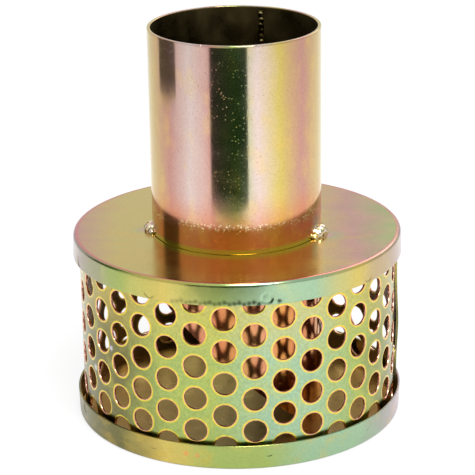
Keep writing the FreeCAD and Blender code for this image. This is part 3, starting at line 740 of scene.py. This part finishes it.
@dataclass
class StrainerScreen:
    """Perforated strip, rolled to a drum with its ends lapped at the right."""

    radius: float = 72.0 * MM
    gauge: float = 1.0 * MM
    floor: float = 1.0 * MM
    height: float = 84.5 * MM
    seam_degrees: float = 83.5
    lap: float = 8.5 * MM
    lap_gap: float = 0.15 * MM
    step_from: float = 10.0 * MM
    step_to: float = 25.0 * MM
    hole_radius: float = 5.0 * MM
    pitch: float = 15.0 * MM
    margin: float = 0.5 * MM
    bottom_row: float = 8.5 * MM
    rows: int = 5
    columns: int = 34
    rim_round: float = 0.28 * MM
    spring: float = 0.8 * MM
    spring_height: float = 42 * MM

    @property
    def middle(self) -> float:
        """Radius of the middle of the rolled sheet."""
        return self.radius - self.gauge / 2

    @property
    def length(self) -> float:
        """Length of the flat strip."""
        return self.middle * TURN + self.lap

    @property
    def column_step(self) -> float:
        """Distance between columns of holes."""
        return self.pitch * math.sqrt(3) / 2

    def hole_centre(self, column: int, row: int) -> tuple[float, float]:
        """Place of a hole on the flat strip.

        Args:
            column: the hole's column, from the strip's first end.
            row: its row, from the bottom.

        Returns:
            Its distance along the strip and up from the lower edge.
        """
        along = self.lap + self.margin + self.hole_radius + column * self.column_step
        shift = 0.5 if column % 2 == 0 else 0.0
        return along, self.bottom_row + (row + shift) * self.pitch

    def cell(self, punched: bool) -> bpy.types.Mesh:
        """One cell of the sheet's pattern, plain or with a round hole.

        Args:
            punched: whether the cell has a hole.

        Returns:
            The cell's mesh, centred on the origin.
        """
        bm = bmesh.new()
        bmesh.ops.create_grid(bm, x_segments=8, y_segments=10, size=0.5)
        bmesh.ops.scale(bm, vec=(self.column_step, self.pitch, 1), verts=bm.verts[:])
        if punched:
            inner = [vert for vert in bm.verts if not vert.is_boundary]
            bmesh.ops.delete(bm, geom=bm.faces[:], context="FACES_ONLY")
            bmesh.ops.delete(bm, geom=inner, context="VERTS")
            bmesh.ops.create_circle(bm, cap_ends=False, segments=36, radius=self.hole_radius)
            spokes = bmesh.ops.bridge_loops(bm, edges=bm.edges[:])["edges"]
            bmesh.ops.subdivide_edges(bm, edges=spokes, cuts=3, use_grid_fill=False)
        mesh = bpy.data.meshes.new("cell")
        bm.to_mesh(mesh)
        bm.free()
        return mesh

    def flat_strip(self) -> bmesh.types.BMesh:
        """Lay the cells out as a flat strip and trim it to its size.

        Returns:
            The strip along X, its width along Y, with no thickness yet.
        """
        bm = bmesh.new()
        punched, plain = self.cell(True), self.cell(False)
        for column in range(-1, self.columns + 1):
            for row in range(-1, self.rows + 1):
                inside = 0 <= column < self.columns and 0 <= row < self.rows
                along, up = self.hole_centre(column, row)
                before = len(bm.verts)
                bm.from_mesh(punched if inside else plain)
                bm.verts.ensure_lookup_table()
                bmesh.ops.translate(bm, vec=(along, up, 0), verts=bm.verts[before:])
        bmesh.ops.remove_doubles(bm, verts=bm.verts[:], dist=0.01 * MM)
        trims = [((0, 0, 0), (-1, 0, 0)), ((self.length, 0, 0), (1, 0, 0)),
                 ((0, 0, 0), (0, -1, 0)), ((0, self.height, 0), (0, 1, 0))]
        for at, outwards in trims:
            bmesh.ops.bisect_plane(bm, geom=bm.verts[:] + bm.edges[:] + bm.faces[:], plane_co=at,
                                   plane_no=outwards, clear_outer=True)
        for mesh in (punched, plain):
            bpy.data.meshes.remove(mesh)
        return bm

    def thicken(self, bm: bmesh.types.BMesh, tree: kdtree.KDTree) -> None:
        """Give the strip its gauge and round the holes' rims.

        Args:
            bm: the flat strip.
            tree: the holes' centres.
        """
        bmesh.ops.translate(bm, vec=(0, 0, self.gauge / 2), verts=bm.verts[:])
        back = bmesh.ops.extrude_face_region(bm, geom=bm.faces[:])["geom"]
        bmesh.ops.translate(bm, vec=(0, 0, -self.gauge),
                            verts=[item for item in back if isinstance(item, bmesh.types.BMVert)])
        bmesh.ops.recalc_face_normals(bm, faces=bm.faces[:])

        def on_rim(vert: bmesh.types.BMVert) -> bool:
            """Whether a vertex lies on a hole's edge."""
            return abs(tree.find((vert.co.x, vert.co.y, 0))[2] - self.hole_radius) < 0.02 * MM

        rims = [edge for edge in bm.edges
                if abs(edge.verts[0].co.z - edge.verts[1].co.z) < 0.1 * MM and all(map(on_rim, edge.verts))]
        bmesh.ops.bevel(bm, geom=rims, offset=self.rim_round, offset_type="OFFSET", segments=2,
                        profile=0.5, affect="EDGES", material=-1)

    def roll(self, bm: bmesh.types.BMesh) -> None:
        """Bend the strip round the drum, with its first end lapped over its last.

        Args:
            bm: the flat strip with its gauge.
        """
        lap_lift = self.gauge + self.lap_gap
        for vert in bm.verts:
            along, up, off = vert.co
            lift = lap_lift * (1 - smooth_step((along - self.step_from) / (self.step_to - self.step_from)))
            loose = max(1 - along / (1.4 * self.lap), 0.0) ** 1.5
            sprung = self.spring * loose * math.exp(-((up + self.floor - self.spring_height) / (13 * MM)) ** 2)
            angle = self.seam_degrees + math.degrees(along / self.middle)
            vert.co = around(self.middle + lift + sprung + off, angle, self.floor + up)

    def build(self) -> bpy.types.Object:
        """Punch, thicken and roll the strip.

        Returns:
            The screen.
        """
        centres = [self.hole_centre(column, row) for column in range(self.columns) for row in range(self.rows)]
        tree = kdtree.KDTree(len(centres))
        for index, (along, up) in enumerate(centres):
            tree.insert((along, up, 0), index)
        tree.balance()
        bm = self.flat_strip()
        self.thicken(bm, tree)
        layer = bm.verts.layers.float.new("hole_distance")
        for vert in bm.verts:
            vert[layer] = (tree.find((vert.co.x, vert.co.y, 0))[2] - self.hole_radius) / MM
        for face in bm.faces:
            face.material_index = 1 if face.normal.z < -0.5 else 0
        self.roll(bm)
        bmesh.ops.recalc_face_normals(bm, faces=bm.faces[:])
        return make_object(bm, "perforated_screen")

    def dress(self, piece: bpy.types.Object) -> None:
        """Ringed film outside, browner film inside, the brown partly painted shade."""
        hand_over(piece, "strainer_screen", [SCREEN_OUTSIDE.material(), SCREEN_INSIDE.material()])


@dataclass
class PressedLid:
    """Pressed round dish: a flat disc, a rounded shoulder and a wall with spot welds set in."""

    name: str
    node: str
    disc_outside: float
    disc_inside: float
    wall_edge: float
    spot_height: float
    bore: float = 0.0
    inner_radius: float = 73.5 * MM
    gauge: float = 1.0 * MM
    flare: float = 0.4 * MM
    shoulder: float = 1.35 * MM
    inner_corner: float = 0.35 * MM
    edge_round: float = 0.3 * MM
    spot_radius: float = 2.6 * MM
    spot_depth: float = 0.3 * MM
    free_degrees: float = 89.5
    steps: int = 288
    wall_rows: int = 9

    def outer_radius(self, height: float) -> float:
        """Radius of the wall's outside at a height."""
        share = (height - self.disc_outside) / (self.wall_edge - self.disc_outside)
        return self.inner_radius + self.gauge + self.flare * share

    def section(self) -> list[tuple[float, float]]:
        """Corners of the half section, from the disc's outside round the wall and back.

        Returns:
            Pairs of radius and height.
        """
        start = self.disc_outside + (self.wall_edge - self.disc_outside) * 0.18
        rows = [start + (self.wall_edge - start) * row / self.wall_rows for row in range(self.wall_rows)]
        outer = [(self.outer_radius(height), height) for height in rows]
        edge = self.inner_radius + self.flare
        flat = self.inner_radius + self.gauge - 1.4 * self.shoulder
        corners = [(self.bore, self.disc_outside), (self.bore + self.gauge, self.disc_outside),
                   (flat, self.disc_outside), (self.inner_radius + self.gauge, self.disc_outside), *outer,
                   (edge + self.gauge, self.wall_edge), (edge, self.wall_edge),
                   (self.inner_radius, self.disc_inside), (self.bore, self.disc_inside)]
        return corners

    def press_spots(self, bm: bmesh.types.BMesh) -> None:
        """Press the spot welds' round marks into the wall.

        Args:
            bm: the lid's mesh.
        """
        radius = self.outer_radius(self.spot_height)
        spacing = 360 / WELD_PLACES
        for place in range(1, WELD_PLACES):
            degrees = self.free_degrees + place * spacing
            centre = around(radius, degrees, self.spot_height)
            outwards = around(1.0, degrees, 0.0)
            near = {edge for face in bm.faces for edge in face.edges
                    if (face.calc_center_median() - centre).length < 4.2 * MM and face.normal.dot(outwards) > 0.8}
            bmesh.ops.subdivide_edges(bm, edges=list(near), cuts=3, use_grid_fill=True)
            for vert in bm.verts:
                reach = vert.co - centre
                if abs(reach.dot(outwards)) < 0.4 * MM and reach.length < 1.2 * self.spot_radius:
                    share = smooth_step((1.12 * self.spot_radius - reach.length) / (0.3 * self.spot_radius))
                    dome = 0.25 * (1 - min(reach.length / self.spot_radius, 1.0))
                    vert.co -= outwards * self.spot_depth * share * (1 - dome)

    def build(self) -> bpy.types.Object:
        """Spin the dish, round its shoulder and edges and press its spot welds.

        Returns:
            The lid.
        """
        bm = spin_section(self.section(), self.steps, closed=self.bore > 0)
        edge = self.inner_radius + self.flare
        round_ring(bm, self.inner_radius + self.gauge, self.disc_outside, self.shoulder, 7)
        round_ring(bm, self.inner_radius, self.disc_inside, self.inner_corner, 3)
        round_ring(bm, edge + self.gauge, self.wall_edge, self.edge_round, 3)
        round_ring(bm, edge, self.wall_edge, self.edge_round, 3)
        if self.bore > 0:
            round_ring(bm, self.bore, self.disc_outside, 0.2 * MM, 2)
        self.press_spots(bm)
        bmesh.ops.recalc_face_normals(bm, faces=bm.faces[:])
        upwards = 1.0 if self.disc_outside > self.disc_inside else -1.0
        for face in bm.faces:
            centre = face.calc_center_median()
            outside = face.normal.dot(Vector((centre.x, centre.y, 0)).normalized())
            if face.normal.z * upwards > 0.9 and abs(centre.z - self.disc_outside) < 0.2 * MM:
                face.material_index = 0
            elif outside > 0.1 or centre.xy.length > self.inner_radius + 0.5 * self.gauge:
                face.material_index = 1
            else:
                face.material_index = 2
        return make_object(bm, self.name)

    def dress(self, piece: bpy.types.Object, disc: ZincFilm, wall: ZincFilm) -> None:
        """Film of its own on the disc, the wall and the inside."""
        hand_over(piece, self.node, [disc.material(), wall.material(), LID_INSIDE.material()])


@dataclass
class TackWeld:
    """Tack weld in a corner: overlapping puddles that have run together and set in ripples."""

    name: str
    node: str
    degrees: float
    radius: float
    floor: float
    length: float
    reach: float
    rise: float
    puddles: int
    least_radius: float
    least_height: float
    upright: bool = False
    head: float = 1.0
    seed: float = 0.0

    def puddle_places(self) -> list[tuple[Vector, float]]:
        """Centre of each puddle along the weld, and its size against the full one.

        Returns:
            Pairs of place and size.
        """
        places = []
        for index in range(self.puddles):
            share = index / (self.puddles - 1) - 0.5
            taper = 1 - 0.5 * abs(2 * share) ** 2.5
            size = taper * (self.head if index == 0 else 1.0)
            shift = share * (self.length - 2.2 * MM)
            if self.upright:
                places.append((around(self.radius, self.degrees, self.floor + shift), size))
            else:
                angle = self.degrees + math.degrees(shift / self.radius)
                places.append((around(self.radius, angle, self.floor), size))
        return places

    def build(self) -> bpy.types.Object:
        """Melt the puddles into one skin, roughen it and let it into the sheet.

        Returns:
            The weld.
        """
        bm = bmesh.new()
        turn = Matrix.Rotation(math.radians(self.degrees), 3, "Z")
        along = self.length / self.puddles * 0.95
        for place, size in self.puddle_places():
            before = len(bm.verts)
            bmesh.ops.create_icosphere(bm, subdivisions=4, radius=1.0)
            bm.verts.ensure_lookup_table()
            shape = (self.reach * size, along, self.rise * size)
            if self.upright:
                shape = (self.reach * size, self.rise * size, along)
            for vert in bm.verts[before:]:
                out, side, up = vert.co
                vert.co = turn @ Vector((side * shape[1], -out * shape[0], up * shape[2])) + place
        raw = make_object(bm, f"{self.name}_raw")
        melt = raw.modifiers.new("melt", "REMESH")
        melt.mode = "VOXEL"
        melt.voxel_size = 0.22 * MM
        melted = bpy.data.meshes.new_from_object(raw.evaluated_get(bpy.context.evaluated_depsgraph_get()))
        bpy.data.objects.remove(raw)
        bm = bmesh.new()
        bm.from_mesh(melted)
        bpy.data.meshes.remove(melted)
        bmesh.ops.smooth_vert(bm, verts=bm.verts[:], factor=0.4, use_axis_x=True, use_axis_y=True, use_axis_z=True)
        bm.normal_update()
        for vert in bm.verts:
            rough = noise.noise(vert.co / (1.6 * MM) + Vector((self.seed, 0, 0)))
            vert.co += vert.normal * rough * 0.16 * MM
            flat = vert.co.xy
            if flat.length < self.least_radius:
                vert.co.xy = flat.normalized() * self.least_radius
            vert.co.z = max(vert.co.z, self.least_height)
        bmesh.ops.recalc_face_normals(bm, faces=bm.faces[:])
        return make_object(bm, self.name, sharp_degrees=75)

    def dress(self, piece: bpy.types.Object, material: bpy.types.Material) -> None:
        """Plated weld metal."""
        hand_over(piece, self.node, [material])


# ---- studio


@dataclass
class Studio:
    """White sweep, soft lamps, dark flags and the camera."""

    sensor: float = 36.0
    lens: float = 154.95
    camera_at: tuple[float, float, float] = (0.0, -0.8802, 0.3936)
    aim: tuple[float, float, float] = (0.0002, 0.0, 0.08097)
    roll_degrees: float = -0.86

    def place_camera(self) -> None:
        """Put the camera where the photograph's was."""
        data = bpy.data.cameras.new("camera")
        data.lens = self.lens
        data.sensor_width = self.sensor
        data.clip_start = 0.05
        data.clip_end = 20.0
        camera = bpy.data.objects.new("camera", data)
        bpy.context.scene.collection.objects.link(camera)
        look = Vector(self.aim) - Vector(self.camera_at)
        turn = look.to_track_quat("-Z", "Y") @ Quaternion((0, 0, 1), math.radians(self.roll_degrees))
        camera.matrix_world = Matrix.Translation(self.camera_at) @ turn.to_matrix().to_4x4()
        bpy.context.scene.camera = camera

    def place_lamp(self, name: str, at: tuple[float, float, float], size: float, power: float) -> None:
        """Add a soft square lamp that faces the strainer.

        Args:
            name: the lamp's name.
            at: its place.
            size: its side.
            power: its power in watts.
        """
        data = bpy.data.lights.new(name, "AREA")
        data.size = size
        data.energy = power
        lamp = bpy.data.objects.new(name, data)
        bpy.context.scene.collection.objects.link(lamp)
        turn = (Vector((0, 0, 0.09)) - Vector(at)).to_track_quat("-Z", "Y")
        lamp.matrix_world = Matrix.Translation(at) @ turn.to_matrix().to_4x4()

    def place_floor(self) -> None:
        """Lay a plain white floor that shows white and keeps a faint shadow."""
        bm = bmesh.new()
        bmesh.ops.create_grid(bm, x_segments=1, y_segments=1, size=4.0)
        floor = make_object(bm, "floor")
        g = Graph("white_paper_sweep")
        seen = g.add("ShaderNodeLightPath", out="Is Camera Ray")
        share = g.add("ShaderNodeMath", {0: seen, 1: 0.8}, operation="MULTIPLY")
        paper = g.add("ShaderNodeBsdfDiffuse", {"Color": linear("#f4f4f6")})
        glow = g.add("ShaderNodeEmission", {"Color": linear("#ffffff"), "Strength": 1.0})
        mixed = g.add("ShaderNodeMixShader", {0: share, 1: paper, 2: glow})
        g.add("ShaderNodeOutputMaterial", {"Surface": mixed})
        floor.data.materials.append(g.material)

    def place_flag(self, name: str, degrees: tuple[float, float], heights: tuple[float, float],
                   distance: float, material: bpy.types.Material) -> None:
        """Stand a dark flag that only the metal's gloss can see.

        Args:
            name: the flag's name.
            degrees: angles of its two sides, from the front towards +X.
            heights: its lower and upper edge.
            distance: its distance from the axis.
            material: its cloth.
        """
        bm = bmesh.new()
        middle = (degrees[0] + degrees[1]) / 2
        width = 2 * distance * math.tan(math.radians((degrees[1] - degrees[0]) / 2))
        bmesh.ops.create_grid(bm, x_segments=1, y_segments=1, size=0.5)
        bmesh.ops.scale(bm, vec=(width, heights[1] - heights[0], 1), verts=bm.verts[:])
        bmesh.ops.rotate(bm, cent=(0, 0, 0), matrix=Matrix.Rotation(math.radians(90), 3, "X"), verts=bm.verts[:])
        bmesh.ops.rotate(bm, cent=(0, 0, 0), matrix=Matrix.Rotation(math.radians(middle), 3, "Z"), verts=bm.verts[:])
        bmesh.ops.translate(bm, vec=around(distance, middle, sum(heights) / 2), verts=bm.verts[:])
        flag = make_object(bm, name)
        flag.data.materials.append(material)
        flag.visible_camera = False
        flag.visible_diffuse = False
        flag.visible_shadow = False
        flag.visible_transmission = False

    def glowing(self, name: str, colour: str) -> bpy.types.Material:
        """Material that shows one even colour in any light.

        Args:
            name: the material's name.
            colour: the colour that the gloss sees.

        Returns:
            The new material.
        """
        g = Graph(name)
        glow = g.add("ShaderNodeEmission", {"Color": linear(colour), "Strength": 1.0})
        g.add("ShaderNodeOutputMaterial", {"Surface": glow})
        return g.material

    def place_flags(self) -> None:
        """Stand the flags that draw the dark bands in the tube."""
        cloth = self.glowing("black_flag_cloth", "#34463a")
        felt = self.glowing("grey_flag_felt", "#6c7268")
        distance = 270 * MM
        self.place_flag("flag_front", (-31, 15.5), (24 * MM, 135 * MM), distance, cloth)
        self.place_flag("flag_left", (-111, -79), (86 * MM, 330 * MM), distance, felt)

    def light(self) -> None:
        """Light the strainer from a white tent with one soft lamp above."""
        world = bpy.data.worlds.new("white_tent")
        bpy.context.scene.world = world
        world.use_nodes = True
        world.node_tree.nodes["Background"].inputs["Color"].default_value = linear("#fafaf8")
        world.node_tree.nodes["Background"].inputs["Strength"].default_value = 0.92
        self.place_lamp("lamp_over", (0.12, -0.5, 0.85), 0.35, 7.0)
        self.place_lamp("lamp_back", (0.35, 0.75, 0.7), 0.5, 1.6)

    def build(self) -> None:
        """Set the studio up."""
        bpy.context.scene.view_settings.view_transform = "Standard"
        self.place_camera()
        self.place_floor()
        self.place_flags()
        self.light()


def build_tacks() -> None:
    """Build the tack welds and report each."""
    on_tube, on_cap = 38.5 * MM + 0.6 * MM, 86.5 * MM + 0.3 * MM
    in_wall, in_cap = 37.6 * MM, 86.0 * MM
    metal = TACK_METAL.material()
    tacks = [
        TackWeld("tack_right", "tack_weld_right", degrees=71, radius=on_tube, floor=on_cap, length=12.5 * MM,
                 reach=3.9 * MM, rise=3.9 * MM, puddles=5, least_radius=in_wall, least_height=in_cap,
                 head=1.05, seed=1.0),
        TackWeld("tack_left", "tack_weld_left", degrees=-86, radius=on_tube, floor=on_cap, length=10.5 * MM,
                 reach=3.4 * MM, rise=3.4 * MM, puddles=4, least_radius=in_wall, least_height=in_cap,
                 head=0.8, seed=4.0),
        TackWeld("tack_rear", "tack_weld_rear", degrees=180, radius=on_tube, floor=on_cap, length=11.2 * MM,
                 reach=3.5 * MM, rise=3.5 * MM, puddles=5, least_radius=in_wall, least_height=in_cap, seed=7.0),
        TackWeld("tack_seam", "seam_tack_weld", degrees=82.6, radius=72.0 * MM, floor=28 * MM, length=5 * MM,
                 reach=1.0 * MM, rise=1.7 * MM, puddles=3, least_radius=71.7 * MM, least_height=1.0 * MM,
                 upright=True, seed=9.0),
    ]
    for tack in tacks:
        tack.dress(tack.build(), metal)


def main() -> None:
    """Build the studio and every piece of the strainer."""
    logging.basicConfig(level=logging.INFO, format="%(name)s: %(message)s")
    Studio().build()
    tail = HoseTail()
    tail.dress(tail.build())
    bead = SeamBead()
    bead.dress(bead.build())
    screen = StrainerScreen()
    screen.dress(screen.build())
    cap = PressedLid("cap_lid", "cap", disc_outside=86.5 * MM, disc_inside=85.5 * MM, wall_edge=76.6 * MM,
                     spot_height=79.6 * MM, bore=38.75 * MM)
    cap.dress(cap.build(), CAP_TOP, CAP_SKIRT)
    base = PressedLid("base_lid", "base_plate", disc_outside=0.0, disc_inside=1.0 * MM, wall_edge=11.3 * MM,
                      spot_height=8.4 * MM)
    base.dress(base.build(), LID_INSIDE, BASE_RIM)
    build_tacks()


if __name__ == "__main__":
    main()
